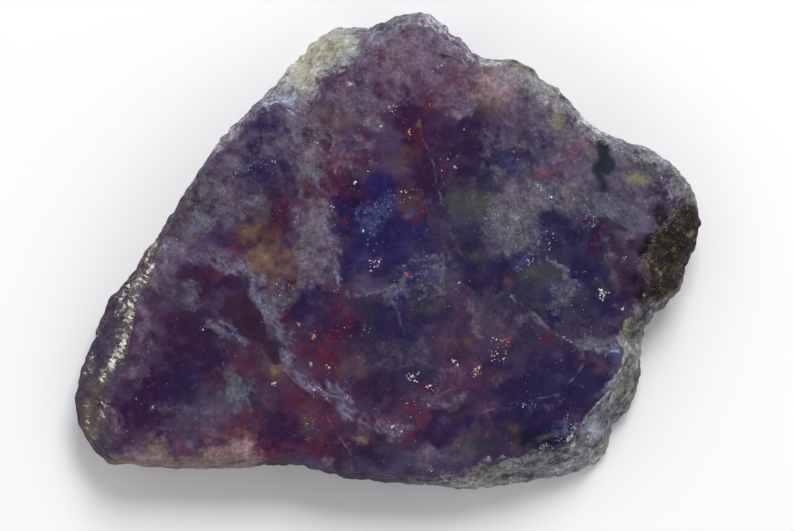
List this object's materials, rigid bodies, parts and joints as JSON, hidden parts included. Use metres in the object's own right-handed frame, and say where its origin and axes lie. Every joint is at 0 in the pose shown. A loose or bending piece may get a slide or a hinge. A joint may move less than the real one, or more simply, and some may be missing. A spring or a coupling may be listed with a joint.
{
  "type": "iolite sunstone slab",
  "caption": "Hand-sized slab of violet-blue iolite sunstone with one flat polished face, broken granular flanks and a flat sawn underside to rest on.",
  "frame": {"origin": "on the surface that the slab rests on, under the middle of its outline", "axes": "+Z is the normal of the polished face, which looks up; +X runs along the slab's length, from the abraded bevel to the rusty crust; +Y runs across it, towards the peak"},
  "size_m": [0.0628, 0.048, 0.0065],
  "materials": {
    "stone": "violet-blue stone, polished glossy on the upper face, rough and granular grey on the broken flanks, sawn matt underneath"
  },
  "bodies": {
    "root": {"slab": "stone"}
  },
  "joints": []
}
